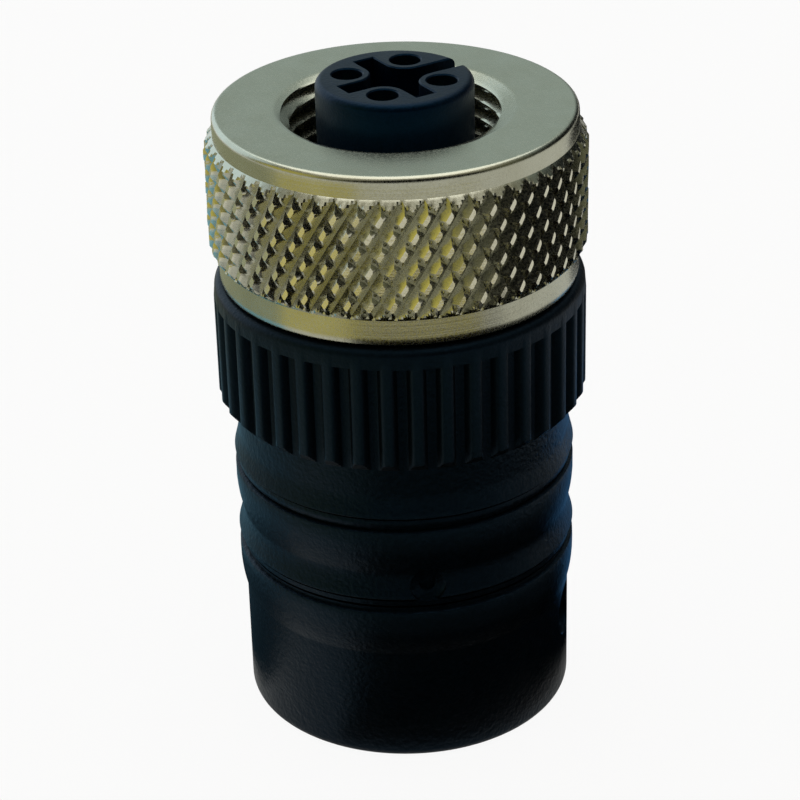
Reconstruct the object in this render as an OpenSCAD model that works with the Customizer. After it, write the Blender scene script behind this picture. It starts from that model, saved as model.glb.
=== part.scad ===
/* [Coupling nut] */
// Outer diameter of the plain bands of the coupling nut
nut_d = 19; // [18.4:0.1:20]
// Height of the coupling nut
nut_h = 9.1; // [8.6:0.1:11]
// Height of the diamond knurl over the plain bands
knurl_depth = 0.5; // [0.2:0.05:0.6]
// Length of the knurled band
knurl_h = 6.45; // [4:0.05:6.8]
// Plain band left under the knurl
knurl_z = 1.45; // [1:0.05:1.8]
// Diamonds around the nut
knurl_n = 54; // [36:2:60]
// Height of one knurl diamond
knurl_pitch = 1.95; // [1.6:0.05:2.6]
// Nominal diameter of the coupling thread
thread_d = 12; // [11.6:0.1:12.4]
// Radial depth of the coupling thread
thread_depth = 0.54; // [0.4:0.02:0.6]
// Diameter of the mouth chamfer
mouth_d = 12.7; // [12.6:0.1:13.6]
// Width of the rounded edge on the top of the nut
nut_edge = 0.35; // [0.1:0.05:0.6]
// Axial play of the nut on its clip
nut_play = 0.5; // [0.2:0.1:0.6]

/* [Grip ring] */
// How far the ribs lie inside the crests of the knurl
grip_under = 0.1; // [0:0.05:0.4]
// Height of the ribbed skirt
rib_h = 6.1; // [5.4:0.1:8]
// Straight ribs around the grip ring
rib_n = 40; // [24:1:44]
// Depth of the grooves between the ribs
rib_depth = 0.5; // [0.2:0.05:0.6]
// Height of the smooth lip above the ribs
lip_h = 1.0; // [0.8:0.1:1.6]
// Diameter of the collar that carries the nut
collar_d = 13.6; // [13.2:0.1:13.8]
// Thickness of the seal ring round the foot of the insert
face_cord = 0.8; // [0.5:0.05:0.85]
// Height of the collar above the lip
collar_h = 2.4; // [2.2:0.1:2.6]

/* [Socket insert] */
// Diameter of the socket insert
insert_d = 8.2; // [8:0.05:8.4]
// Diameter of the stepped base of the insert
insert_base_d = 8.6; // [8.5:0.05:8.8]
// How far the insert stands above the nut
insert_stand = 1.55; // [0.5:0.05:2.5]
// Diameter of the circle through the contacts
pcd = 5; // [4.8:0.05:5.1]
// Diameter of a socket hole
socket_d = 1.6; // [1.4:0.05:1.65]
// Width of the cross recess and of the coding slot
slot_w = 1.15; // [0.8:0.05:1.2]
// Length of each arm of the cross recess from the axis
cross_r = 3.05; // [2.8:0.05:3.3]
// Depth of the cross recess
cross_depth = 1.6; // [0.8:0.1:3]
// Depth of the coding slot from the top
key_depth = 7; // [4:0.5:8]

/* [Contacts] */
// Outer diameter of a contact tube
contact_d = 1.5; // [1.3:0.05:1.5]
// Diameter of the bore that takes a pin
pin_bore_d = 1.04; // [1:0.02:1.1]
// Depth of the bore that takes a pin
pin_bore_h = 6.5; // [6.4:0.1:7]
// Length of the slim tube of a contact
tube_h = 6.1; // [5:0.1:6.2]
// Width of the slit between the two tines of a contact
slit_w = 0.25; // [0.15:0.05:0.4]
// How far the contact lies below the top of the insert
contact_sink = 0.9; // [0.4:0.1:1.5]
// Diameter of the terminal end of a contact
terminal_d = 2.6; // [2.4:0.1:2.8]
// Diameter of the wire hole in the terminal
wire_d = 1.2; // [1:0.1:1.3]
// Thread diameter of a terminal screw
screw_d = 1.6; // [1.4:0.1:1.8]
// Head diameter of a terminal screw
screw_head_d = 2.4; // [2.2:0.1:2.8]

/* [Housing] */
// Diameter of the housing at its plain waist
body_d = 18.1; // [18:0.1:18.6]
// Height of the outside of the housing, between the gland cap and the grip ring
body_h = 8.33; // [8:0.05:10]
// How far the rounded beads stand out from the waist
bead_out = 0.25; // [0.1:0.05:0.4]
// Height of the decorative groove above the foot of the housing
groove_up = 5.06; // [4.6:0.02:5.4]
// Width and depth of the decorative groove
groove_w = 0.25; // [0.15:0.05:0.4]
// Thickness of the seal ring at the foot of the neck
gasket_cord = 0.66; // [0.5:0.02:0.7]
// Height of the threaded neck
neck_h = 5.5; // [5:0.1:5.7]
// Diameter of the threaded neck
neck_d = 16.2; // [16:0.1:16.4]
// Diameter of the wiring chamber
chamber_d = 14.2; // [14.1:0.05:14.6]
// Diameter of the seal seat
seat_d = 11.2; // [10.8:0.1:11.6]
// Diameter of the threaded tail
tail_d = 14.8; // [14.4:0.1:15]
// Diameter of the shallow gate dimple
gate_d = 1.85; // [1:0.05:2.2]

/* [Gland cap] */
// Height of the gland cap
cap_h = 9.65; // [9.2:0.05:11]
// Diameter of the plain foot of the cap
cap_d = 18; // [17.6:0.1:18.4]
// Thickness of the floor of the cap
cap_floor = 2.2; // [1.6:0.1:2.4]
// Height of the rounded bead at the top of the cap
bead_h = 2.8; // [1.5:0.1:3.4]
// Radius of the rounded bottom edge
foot_round = 0.5; // [0.4:0.1:1.4]
// Diameter of the cable hole
cable_hole_d = 6.6; // [5:0.1:7]
// Diameter of the spanner hole in the side
spanner_d = 3; // [2:0.1:3.4]
// Depth of the spanner hole
spanner_depth = 1.1; // [0.6:0.1:1.2]
// Height of the spanner hole
spanner_z = 5; // [4:0.1:6]

/* [Gland] */
// Diameter of the cable that the seal fits
cable_d = 5; // [3.6:0.1:5.6]
// Depth of the cable seal inside the tail
seal_in = 4.2; // [3.6:0.1:4.4]
// Length of the cable seal
seal_h = 5.2; // [4:0.1:5.4]
// Thickness of the slip washer
washer_t = 0.5; // [0.3:0.1:0.6]
// Thickness of the flange of the clamping collet
collet_flange_h = 0.8; // [0.5:0.1:1.2]
// Slots around the clamping collet
collet_slots = 8; // [5:1:8]
// Width of a slot in the collet
collet_slot_w = 0.7; // [0.4:0.1:0.9]

/* [Hidden] */
$fn = 96;

// Clearances: a running thread or shaft, a loose part, and a joint line that shows
run_gap = 0.1;
seat_gap = 0.05;
loose_gap = 0.2;
line_gap = 0.12;

// Heights of the stack, from the foot of the cap to the tip of the insert
body_z = cap_h + line_gap;
shoulder_z = body_z + body_h;
neck_top = shoulder_z + neck_h;
grip_z = shoulder_z + 0.1;
lip_z = grip_z + rib_h;
nut_z = lip_z + lip_h + run_gap;
collar_top = lip_z + lip_h + collar_h;
nut_top = nut_z + nut_h;
insert_top = nut_top + insert_stand;
flange_z = neck_top + seat_gap;

// Radii of the nut, the collar and the clip between them
thread_r = thread_d / 2 - thread_depth;
collar_r = collar_d / 2;
back_r = collar_r + run_gap * 2;
clip_t = 0.5;
clip_root_r = collar_r - 0.7;
clip_groove_z = nut_z + 0.8;
collar_groove_z = clip_groove_z - loose_gap / 2 + 0.05;
collar_groove_h = clip_t + nut_play + loose_gap;
counterbore_h = collar_top - nut_z + nut_play + loose_gap;

// Radii of the gland
washer_z = cap_floor;
collet_z = washer_z + washer_t;
tail_z = collet_z + collet_flange_h + loose_gap;
seat_r = seat_d / 2;
seal_z = tail_z + seal_in;
seal_top = seal_z + seal_h;
chamber_z = seal_top + 0.9;
block_z = chamber_z + 0.4;
key_z = insert_top - key_depth;
flange_r = chamber_d / 2 + 0.6;
base_top = collar_top + 1;
contact_top = insert_top - contact_sink;
contact_step_z = contact_top - tube_h;
contact_body_r = terminal_d / 2 - 0.3;

// Angles seen from above, counted from +X; the coding slot points along +Y
contact_angles = [45, 135, 225, 315];
key_angle = 90;
gate_angle = -24.6;
spanner_angle = 45.9;

// A ring with a rectangular section
module ring(r_out, r_in, h) {
  difference() {
    cylinder(h = h, r = r_out);
    translate([0, 0, -1])
      cylinder(h = h + 2, r = r_in);
  }
}

// A solid of revolution from a closed outline of [radius, height] points
module turned(outline) {
  rotate_extrude()
    polygon(outline);
}

// Points of an arc in the outline plane
function arc(c, r, a0, a1, steps) =
  [for (i = [0 : steps]) let (a = a0 + (a1 - a0) * i / steps) [c[0] + r * cos(a), c[1] + r * sin(a)]];

// A half-wave bulge between two heights, from radius r0 to r1 with the given rise
function bulge(z0, z1, r0, r1, rise, steps) =
  [for (i = [0 : steps]) let (t = i / steps) [r0 + (r1 - r0) * t + rise * sin(180 * t), z0 + (z1 - z0) * t]];

// Knurl: rows of pointed diamonds in a polyhedron sleeve.
// The column step is half a diamond around, the row step half a diamond high.
// The half diamonds of the two end rows stay low, where the knurl runs out on the band.
knurl_rows = max(2, round(knurl_h / knurl_pitch * 2));
row_h = knurl_h / knurl_rows;
knurl_cols = 2 * knurl_n;
knurl_root_r = nut_d / 2 + 0.03;
knurl_top_r = nut_d / 2 + knurl_depth;
knurl_end_r = nut_d / 2 + 0.12;
grip_r = knurl_top_r - grip_under;
knurl_bore_r = nut_d / 2 - 0.4;

function at(r, a, z) = [r * cos(a), r * sin(a), z];
function wrap(c) = (c + knurl_cols) % knurl_cols;
function is_peak(c, k) = (c + k) % 2 == 1;
function peak_r(k) = k == 0 || k == knurl_rows ? knurl_end_r : knurl_top_r;

module knurl_sleeve(z0) {
  step = 360 / knurl_cols;
  grid = knurl_cols * (knurl_rows + 1);
  function id(c, k) = k * knurl_cols + wrap(c);
  nodes = [for (k = [0 : knurl_rows]) for (c = [0 : knurl_cols - 1])
           at(is_peak(c, k) ? peak_r(k) : knurl_root_r, c * step, z0 + k * row_h)];
  base_ring = [for (c = [0 : knurl_cols - 1]) at(knurl_bore_r, c * step, z0)];
  head_ring = [for (c = [0 : knurl_cols - 1]) at(knurl_bore_r, c * step, z0 + knurl_h)];
  low = grid;
  high = grid + knurl_cols;
  function inner(c, base) = base + wrap(c);
  skin = [for (k = [0 : knurl_rows - 1]) for (c = [0 : knurl_cols - 1]) each
          (is_peak(c, k)
           ? [[id(c, k), id(c + 1, k), id(c, k + 1)], [id(c + 1, k), id(c + 1, k + 1), id(c, k + 1)]]
           : [[id(c, k), id(c + 1, k), id(c + 1, k + 1)], [id(c, k), id(c + 1, k + 1), id(c, k + 1)]])];
  walls = [for (c = [0 : knurl_cols - 1]) each
           [[id(c, 0), inner(c, low), inner(c + 1, low)],
            [id(c, 0), inner(c + 1, low), id(c + 1, 0)],
            [id(c, knurl_rows), id(c + 1, knurl_rows), inner(c + 1, high)],
            [id(c, knurl_rows), inner(c + 1, high), inner(c, high)],
            [inner(c, low), inner(c, high), inner(c + 1, high)],
            [inner(c, low), inner(c + 1, high), inner(c + 1, low)]]];
  polyhedron(concat(nodes, base_ring, head_ring), [for (f = concat(skin, walls)) [f[2], f[1], f[0]]]);
}

module coupling_nut() {
  r = nut_d / 2;
  mouth_r = mouth_d / 2;
  step_z = nut_z + counterbore_h;
  groove_top = clip_groove_z + clip_t + seat_gap;
  color("#b9b6a6")
    union() {
      turned([[back_r, nut_z], [r - 0.15, nut_z], [r, nut_z + 0.15], [r, nut_top - nut_edge],
              [r - nut_edge * 0.3, nut_top - nut_edge * 0.3], [r - nut_edge, nut_top],
              [mouth_r, nut_top], [thread_r, nut_top - (mouth_r - thread_r)],
              [thread_r, step_z], [back_r, step_z], [back_r, groove_top],
              [back_r + 0.4, groove_top], [back_r + 0.4, clip_groove_z], [back_r, clip_groove_z]]);
      knurl_sleeve(nut_z + knurl_z);
    }
}

// Snap ring, split on one side, that ties the nut to the collar
module nut_clip() {
  color("#8c8f92")
    translate([0, 0, clip_groove_z])
      difference() {
        ring(back_r + 0.35, clip_root_r + seat_gap * 2, clip_t);
        translate([0, -0.6, -1])
          cube([back_r + 1, 1.2, clip_t + 2]);
      }
}

// Seal ring round the foot of the insert
module face_seal() {
  cord_r = face_cord / 2;
  color("#33302c")
    translate([0, 0, collar_top + cord_r + 0.02])
      rotate_extrude()
        translate([insert_base_d / 2 + seat_gap + cord_r, 0])
          circle(r = cord_r, $fn = 32);
}

// The four socket holes, each with a short lead-in
module socket_holes(depth) {
  for (a = contact_angles)
    rotate(a)
      translate([pcd / 2, 0, insert_top - depth])
        cylinder(h = depth + 1, d = socket_d);
}

// Cross between the sockets, opened out at its centre by arcs round each socket
module cross_recess() {
  island_r = pcd / 2 * sin(45) - slot_w / 2;
  translate([0, 0, insert_top - cross_depth])
    difference() {
      union() {
        for (a = [0, 90])
          rotate(a)
            translate([-cross_r, -slot_w / 2, 0])
              cube([2 * cross_r, slot_w, cross_depth + 1]);
        cylinder(h = cross_depth + 1, r = pcd / 2 - island_r + 0.35);
      }
      for (a = contact_angles)
        rotate(a)
          translate([pcd / 2, 0, -1])
            cylinder(h = cross_depth + 3, r = island_r);
    }
}

module socket_insert() {
  r = insert_d / 2;
  edge = 0.4;
  base_r = insert_base_d / 2;
  foot_z = flange_z;
  color("#1b1e22")
    difference() {
      turned(concat([[0, foot_z], [flange_r, foot_z], [flange_r, lip_z], [base_r, lip_z],
                     [base_r, base_top - 0.1], [base_r - 0.1, base_top], [r, base_top]],
                    arc([r - edge, insert_top - edge], edge, 0, 90, 6), [[0, insert_top]]));
      socket_holes(insert_top - foot_z + 1);
      for (a = contact_angles)
        rotate(a)
          translate([pcd / 2, 0, foot_z - 1])
            cylinder(h = contact_step_z + seat_gap - foot_z + 1, r = contact_body_r + seat_gap);
      cross_recess();
      rotate(key_angle)
        translate([cross_r - 0.5, -slot_w / 2, key_z])
          cube([r, slot_w, key_depth + 1]);
    }
}

// Turned contact: slit tube for the pin, body, terminal head with a wire hole and a screw hole
module contact(i) {
  head_h = flange_z - block_z - 0.4;
  color("#d9b25e")
    rotate(contact_angles[i])
      translate([pcd / 2, 0, 0])
        difference() {
          union() {
            translate([0, 0, flange_z])
              cylinder(h = contact_top - flange_z, d = contact_d);
            translate([0, 0, flange_z])
              cylinder(h = contact_step_z - flange_z, r = contact_body_r);
            translate([0, 0, flange_z - head_h])
              cylinder(h = head_h, d = terminal_d);
          }
          translate([0, 0, contact_top - pin_bore_h])
            cylinder(h = pin_bore_h + 1, d = pin_bore_d);
          translate([0, 0, contact_top - 0.2])
            cylinder(h = 0.4, d1 = pin_bore_d - 0.1, d2 = pin_bore_d + 0.5);
          translate([-contact_d, -slit_w / 2, contact_step_z + 1])
            cube([2 * contact_d, slit_w, pin_bore_h]);
          translate([0, 0, flange_z - head_h - 1])
            cylinder(h = head_h - 0.6, d = wire_d);
          translate([0, 0, screw_z()])
            rotate([0, 90, 0])
              cylinder(h = terminal_d, d = screw_d);
        }
}

function screw_z() = block_z + (flange_z - block_z) * 0.45;

// Block behind the insert that holds the terminals
module terminal_block() {
  h = flange_z - block_z;
  r = chamber_d / 2 - 0.4;
  color("#23262a")
    difference() {
      translate([0, 0, block_z])
        cylinder(h = h, r = r);
      for (a = contact_angles)
        rotate(a) {
          translate([pcd / 2, 0, block_z - 1])
            cylinder(h = h + 2, r = terminal_d / 2 + seat_gap);
          translate([pcd / 2, 0, screw_z()])
            rotate([0, 90, 0])
              cylinder(h = chamber_d, r = screw_head_d / 2 + seat_gap);
        }
      for (a = [0, 90])
        rotate(a)
          translate([-chamber_d / 2, -0.5, block_z - 1])
            cube([chamber_d, 1, 2.6]);
    }
}

// Slotted screw that clamps a wire in its terminal
module terminal_screw(i) {
  head_x = pcd / 2 + terminal_d / 2 + seat_gap * 2;
  head_h = chamber_d / 2 - 0.9 - head_x;
  color("#b4b7b9")
    rotate(contact_angles[i])
      translate([0, 0, screw_z()])
        rotate([0, 90, 0])
          difference() {
            union() {
              translate([0, 0, pcd / 2 + 0.2])
                cylinder(h = head_x - pcd / 2, r = screw_d / 2 - seat_gap);
              translate([0, 0, head_x])
                cylinder(h = head_h, d = screw_head_d);
            }
            translate([-0.2, -screw_head_d, head_x + head_h * 0.5])
              cube([0.4, 2 * screw_head_d, head_h]);
          }
}

// Outline of the ribbed skirt, looking down
module rib_outline() {
  r = grip_r;
  root = r - rib_depth;
  pitch = 360 / rib_n;
  union() {
    circle(r = root);
    for (i = [0 : rib_n - 1])
      rotate(i * pitch)
        polygon([at2(root - 0.3, -0.34 * pitch), at2(root + 0.03, -0.34 * pitch),
                 at2(r - 0.08, -0.22 * pitch), at2(r, -0.1 * pitch), at2(r, 0.1 * pitch),
                 at2(r - 0.08, 0.22 * pitch), at2(root + 0.03, 0.34 * pitch),
                 at2(root - 0.3, 0.34 * pitch)]);
  }
}

function at2(r, a) = [r * cos(a), r * sin(a)];

module grip_ring() {
  r = grip_r;
  core_r = r - rib_depth - 0.1;
  skirt_r = neck_d / 2 + run_gap;
  bore_r = insert_base_d / 2 + seat_gap;
  lip_top = lip_z + lip_h;
  recess_r = neck_d / 2 + gasket_cord + 0.14;
  recess_top = grip_z + gasket_cord + 0.14;
  color("#17191c")
    union() {
      // ribbed skirt with the thread that runs on the neck
      difference() {
        translate([0, 0, grip_z])
          linear_extrude(rib_h)
            rib_outline();
        turned([[0, grip_z - 1], [recess_r, grip_z - 1], [recess_r, recess_top],
                [skirt_r, recess_top + 0.4], [skirt_r, lip_z + 1], [0, lip_z + 1]]);
        rib_ends();
      }
      // lip, shoulder and collar
      turned(concat([[bore_r, lip_z], [skirt_r, lip_z], [skirt_r, lip_z - 0.2], [core_r, lip_z - 0.2],
                     [core_r, lip_z], [r - 0.05, lip_z]],
                    arc([r - 0.55, lip_z + 0.5], 0.5, 0, 90, 6),
                    [[collar_r, lip_top],
                     [collar_r, collar_groove_z], [clip_root_r, collar_groove_z],
                     [clip_root_r, collar_groove_z + collar_groove_h],
                     [collar_r, collar_groove_z + collar_groove_h],
                     [collar_r, collar_top - 0.2], [collar_r - 0.2, collar_top],
                     [bore_r, collar_top]]));
    }
}

// Chamfer on the lower ends of the ribs
module rib_ends() {
  r = grip_r;
  turned([[r - rib_depth, grip_z - 1], [r + 1, grip_z - 1], [r + 1, grip_z + 0.6],
          [r - rib_depth, grip_z - 0.1]]);
}

// Seal ring at the foot of the neck
module body_gasket() {
  cord_r = gasket_cord / 2;
  color("#2b2926")
    translate([0, 0, shoulder_z + cord_r + 0.03])
      rotate_extrude()
        translate([neck_d / 2 + 0.03 + cord_r, 0])
          circle(r = cord_r, $fn = 32);
}

module housing() {
  r = body_d / 2;
  crest = r + bead_out;
  groove_z = body_z + groove_up;
  top_r = r - 0.05;
  color("#101317")
    difference() {
      turned(concat(
        [[seat_r, tail_z], [tail_d / 2 - 0.3, tail_z], [tail_d / 2, tail_z + 0.3],
         [tail_d / 2, body_z], [crest - 0.12, body_z], [crest, body_z + 0.12]],
        bulge(body_z + 0.3, groove_z - 1.2, crest - 0.03, r + 0.08, -0.08, 8),
        bulge(groove_z - 1.1, groove_z - groove_w, r + 0.1, crest - 0.02, 0.08, 6),
        [[crest - groove_w - 0.1, groove_z - groove_w / 2]],
        [[crest - 0.02, groove_z], [crest - 0.06, groove_z + 0.3]],
        bulge(groove_z + 0.9, shoulder_z - 0.6, r + 0.05, top_r, -0.02, 6),
        [[top_r, shoulder_z - 0.1], [top_r - 0.1, shoulder_z], [neck_d / 2, shoulder_z],
         [neck_d / 2, neck_top - 0.3], [neck_d / 2 - 0.3, neck_top], [chamber_d / 2, neck_top],
         [chamber_d / 2, chamber_z], [cable_d / 2 + 1, seal_top + 0.1], [cable_d / 2 + 1, seal_top],
         [seat_r, seal_top]]));
      // gate dimple with the sheared stub left standing in it
      rotate(gate_angle)
        translate([r - 0.2, 0, body_z + 1.28])
          rotate([0, 90, 0])
            difference() {
              cylinder(h = 2, d = gate_d);
              translate([0, 0, -1])
                cylinder(h = 1.1, d = 0.55);
            }
    }
}

// Rubber bush that grips the cable
module cable_seal() {
  r = seat_r - seat_gap * 2;
  color("#2e3034")
    translate([0, 0, seal_z])
      turned([[cable_d / 2, 0.3], [cable_d / 2 + 0.3, 0], [r - 0.3, 0], [r, 0.3],
              [r, seal_h - 0.3], [r - 0.3, seal_h], [cable_d / 2 + 0.3, seal_h],
              [cable_d / 2, seal_h - 0.3]]);
}

// Collet whose fingers close on the cable as the cap is tightened
module clamp_collet() {
  r = seat_r - loose_gap;
  bore = cable_d / 2 + 0.4;
  h = seal_z - collet_z;
  color("#3a3d40")
    translate([0, 0, collet_z])
      difference() {
        turned([[bore, 0], [tail_d / 2 - 0.4, 0], [tail_d / 2 - 0.4, collet_flange_h],
                [r, collet_flange_h], [r, h - 0.8], [r - 0.8, h], [bore, h]]);
        for (i = [0 : collet_slots - 1])
          rotate(i * 360 / collet_slots)
            translate([0, -collet_slot_w / 2, collet_flange_h + 0.6])
              cube([seat_d, collet_slot_w, h]);
      }
}

// Washer that lets the cap turn without twisting the collet
module slip_washer() {
  color("#a8abad")
    translate([0, 0, washer_z])
      ring(tail_d / 2 - 0.2, cable_hole_d / 2 + 0.2, washer_t);
}

// Screw cap of the cable gland
module gland_cap() {
  r = cap_d / 2;
  crest = body_d / 2 + bead_out;
  bead_foot = cap_h - bead_h;
  thread = tail_d / 2 + run_gap;
  hole_r = cable_hole_d / 2;
  color("#101317")
    difference() {
      turned(concat(
        [[hole_r + 0.4, 0]],
        arc([r - foot_round, foot_round], foot_round, -90, 0, 8),
        [[r, bead_foot]],
        bulge(bead_foot + 0.1, cap_h - 0.15, r + 0.05, crest, 0.05, 8),
        [[crest - 0.12, cap_h], [thread + 0.3, cap_h], [thread, cap_h - 0.3],
         [thread, cap_floor], [hole_r, cap_floor], [hole_r, 0.4]]));
      rotate(spanner_angle)
        translate([r - spanner_depth, 0, spanner_z])
          rotate([0, 90, 0])
            cylinder(h = spanner_depth + 2, d = spanner_d);
    }
}

coupling_nut();
nut_clip();
face_seal();
socket_insert();
contact(0);  // contact_1
contact(1);  // contact_2
contact(2);  // contact_3
contact(3);  // contact_4
terminal_block();
terminal_screw(0);  // terminal_screw_1
terminal_screw(1);  // terminal_screw_2
terminal_screw(2);  // terminal_screw_3
terminal_screw(3);  // terminal_screw_4
grip_ring();
body_gasket();
housing();
cable_seal();
clamp_collet();
slip_washer();
gland_cap();
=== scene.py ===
# %% [markdown]
# # A round screw-lock connector
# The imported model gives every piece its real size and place. This script dresses it: it turns finer
# meshes for the pieces that show, gives each surface the finish of its real material, and lights it
# on a pale table. Everything is in metres, in the frame of the model, with the mating end up.

import bmesh
import bpy
import math
from mathutils import Matrix, Vector


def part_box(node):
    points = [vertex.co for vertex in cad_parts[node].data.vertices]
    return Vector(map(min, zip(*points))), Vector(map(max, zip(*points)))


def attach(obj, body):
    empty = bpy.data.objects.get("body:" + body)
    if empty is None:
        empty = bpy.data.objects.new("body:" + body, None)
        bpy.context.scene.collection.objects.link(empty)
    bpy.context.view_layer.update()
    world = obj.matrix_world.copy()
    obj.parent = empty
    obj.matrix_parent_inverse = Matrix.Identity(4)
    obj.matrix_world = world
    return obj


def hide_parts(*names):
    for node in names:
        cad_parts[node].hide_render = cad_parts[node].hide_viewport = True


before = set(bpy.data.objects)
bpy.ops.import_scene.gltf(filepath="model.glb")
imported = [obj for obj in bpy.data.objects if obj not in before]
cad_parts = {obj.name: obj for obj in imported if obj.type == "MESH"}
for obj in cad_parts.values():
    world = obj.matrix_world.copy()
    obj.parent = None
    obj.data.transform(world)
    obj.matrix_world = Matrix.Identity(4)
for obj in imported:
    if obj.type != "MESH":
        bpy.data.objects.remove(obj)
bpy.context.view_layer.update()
MM = 0.001
nut_low, nut_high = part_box("coupling_nut")
grip_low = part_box("grip_ring")[0]
insert_low, insert_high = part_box("socket_insert")
body_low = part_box("housing")[0]
cap_low, cap_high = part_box("gland_cap")
print("height of the connector, mm:", round((insert_high.z - cap_low.z) / MM, 2))

# %% [markdown]
# ## The camera
# The view is that of a close look at a part on a table: a long lens about 15 cm away, looking down
# by 28 degrees, so that the top face opens up and the sides stay nearly parallel. The connector is
# seen from the side where the coding slot lies behind and to the right.

# %% Place the camera
VIEW_AZIMUTH = math.radians(58.77)
VIEW_PITCH = math.radians(28.04)
VIEW_ROLL = math.radians(-1.56)
LENS_MM = 121.46
STAND_OFF_MM = 129.67
STAND_OFF_TURN = math.radians(0.07)
LENS_ABOVE_NUT_MM = 51.87
camera_data = bpy.data.cameras.new("camera")
camera_data.sensor_width = 36
camera_data.lens = LENS_MM
camera_data.clip_start = 0.01
camera = bpy.data.objects.new("camera", camera_data)
bpy.context.scene.collection.objects.link(camera)
stand_off = Matrix.Rotation(VIEW_AZIMUTH - STAND_OFF_TURN, 4, "Z") @ Vector((0, -STAND_OFF_MM * MM, 0))
aim = (Matrix.Rotation(VIEW_AZIMUTH, 4, "Z") @ Matrix.Rotation(math.pi / 2 - VIEW_PITCH, 4, "X")
       @ Matrix.Rotation(VIEW_ROLL, 4, "Z"))
camera.matrix_world = Matrix.Translation(stand_off + Vector((0, 0, nut_high.z + LENS_ABOVE_NUT_MM * MM))) @ aim
bpy.context.scene.camera = camera
print("camera at, mm:", [round(v / MM, 1) for v in camera.location])

# %% [markdown]
# ## Colours and nodes
# Colours are picked as hex values, the way a paint card gives them. Shaders work with linear light,
# so one function converts them. Materials are built from nodes, and one small function adds a node
# with its settings and its links, which keeps each material readable.

# %% Colour and node helpers
def linear(hex_colour):
    channels = [int(hex_colour[i:i + 2], 16) / 255 for i in (1, 3, 5)]
    return [c / 12.92 if c <= 0.04045 else ((c + 0.055) / 1.055) ** 2.4 for c in channels] + [1]


def add_node(tree, kind, settings=None, inputs=None):
    node = tree.nodes.new(kind)
    for name, value in (settings or {}).items():
        setattr(node, name, value)
    for name, value in (inputs or {}).items():
        if isinstance(value, bpy.types.NodeSocket):
            tree.links.new(value, node.inputs[name])
        else:
            node.inputs[name].default_value = value
    return node


def new_material(name):
    material = bpy.data.materials.new(name)
    material.use_nodes = True
    tree = material.node_tree
    tree.nodes.clear()
    return material, tree


def per_mm(size_mm):
    """Texture scale at which one cell of a pattern is size_mm across."""
    return 1 / (size_mm * MM)


view_settings = bpy.context.scene.view_settings
view_settings.view_transform = "Standard"

# %% [markdown]
# ## Table, room and lamps
# A pale table runs to the horizon. For a camera it is a thin veil over the white room, so it looks
# white, takes the connector's soft shadow, and doesn't hide the cap when that is screwed down past it.
# The room is a light tent: pale behind and above, with a yellow cloth at the left and dark ones on the
# lens side and at the right. Turned metal and glossy plastic only look right with something dark to
# mirror, so mats that only reflections see lie on the table around it.

# %% Table
TABLE_CLEAR_SHARE = 0.93
TABLE_GLOW_SHARE = 0.35
table_mesh = bpy.data.meshes.new("table")
table_edit = bmesh.new()
bmesh.ops.create_grid(table_edit, x_segments=1, y_segments=1, size=6)
table_edit.to_mesh(table_mesh)
table = bpy.data.objects.new("table", table_mesh)
table.location.z = cap_low.z - 0.02 * MM
bpy.context.scene.collection.objects.link(table)

material, tree = new_material("white_table_top")
ray = add_node(tree, "ShaderNodeLightPath")
lit = add_node(tree, "ShaderNodeBsdfDiffuse", inputs={"Color": linear("#dcdad4")})
glow = add_node(tree, "ShaderNodeEmission", inputs={"Color": (1, 1, 1, 1), "Strength": 1})
clear = add_node(tree, "ShaderNodeMath", {"operation": "MAXIMUM"},
                 {0: ray.outputs["Is Camera Ray"], 1: ray.outputs["Is Transmission Ray"]})
through = add_node(tree, "ShaderNodeBsdfTransparent")
seen = add_node(tree, "ShaderNodeMath", {"operation": "MULTIPLY"}, {0: clear.outputs[0], 1: TABLE_CLEAR_SHARE})
top = add_node(tree, "ShaderNodeMixShader",
               inputs={0: seen.outputs[0], 1: lit.outputs[0], 2: through.outputs[0]})
mirrored = add_node(tree, "ShaderNodeMath", {"operation": "MULTIPLY"},
                    {0: ray.outputs["Is Glossy Ray"], 1: TABLE_GLOW_SHARE})
mix = add_node(tree, "ShaderNodeMixShader",
               inputs={0: mirrored.outputs[0], 1: top.outputs[0], 2: glow.outputs[0]})
add_node(tree, "ShaderNodeOutputMaterial", inputs={"Surface": mix.outputs[0]})
table_mesh.materials.append(material)

# %% Mats that only reflections see
def mat(name, from_deg, to_deg, near_mm, far_mm, colour):
    """A flat ring sector on the table; the angle is counted from the lens side, to the right."""
    steps = max(2, round((to_deg - from_deg) / 5))
    corners = []
    for reach in (near_mm, far_mm):
        for i in range(steps + 1):
            turn_by = VIEW_AZIMUTH + math.radians(from_deg + (to_deg - from_deg) * i / steps)
            corners.append((reach * math.sin(turn_by) * MM, -reach * math.cos(turn_by) * MM, 0))
    quads = [[i, i + 1, steps + 2 + i, steps + 1 + i] for i in range(steps)]
    sheet = bpy.data.meshes.new(name)
    sheet.from_pydata(corners, [], quads)
    laid = bpy.data.objects.new(name, sheet)
    bpy.context.scene.collection.objects.link(laid)
    laid.visible_camera = laid.visible_diffuse = laid.visible_shadow = laid.visible_transmission = False
    finish, nodes = new_material(name)
    felt = add_node(nodes, "ShaderNodeBsdfDiffuse", inputs={"Color": linear(colour)})
    add_node(nodes, "ShaderNodeOutputMaterial", inputs={"Surface": felt.outputs[0]})
    sheet.materials.append(finish)


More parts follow.
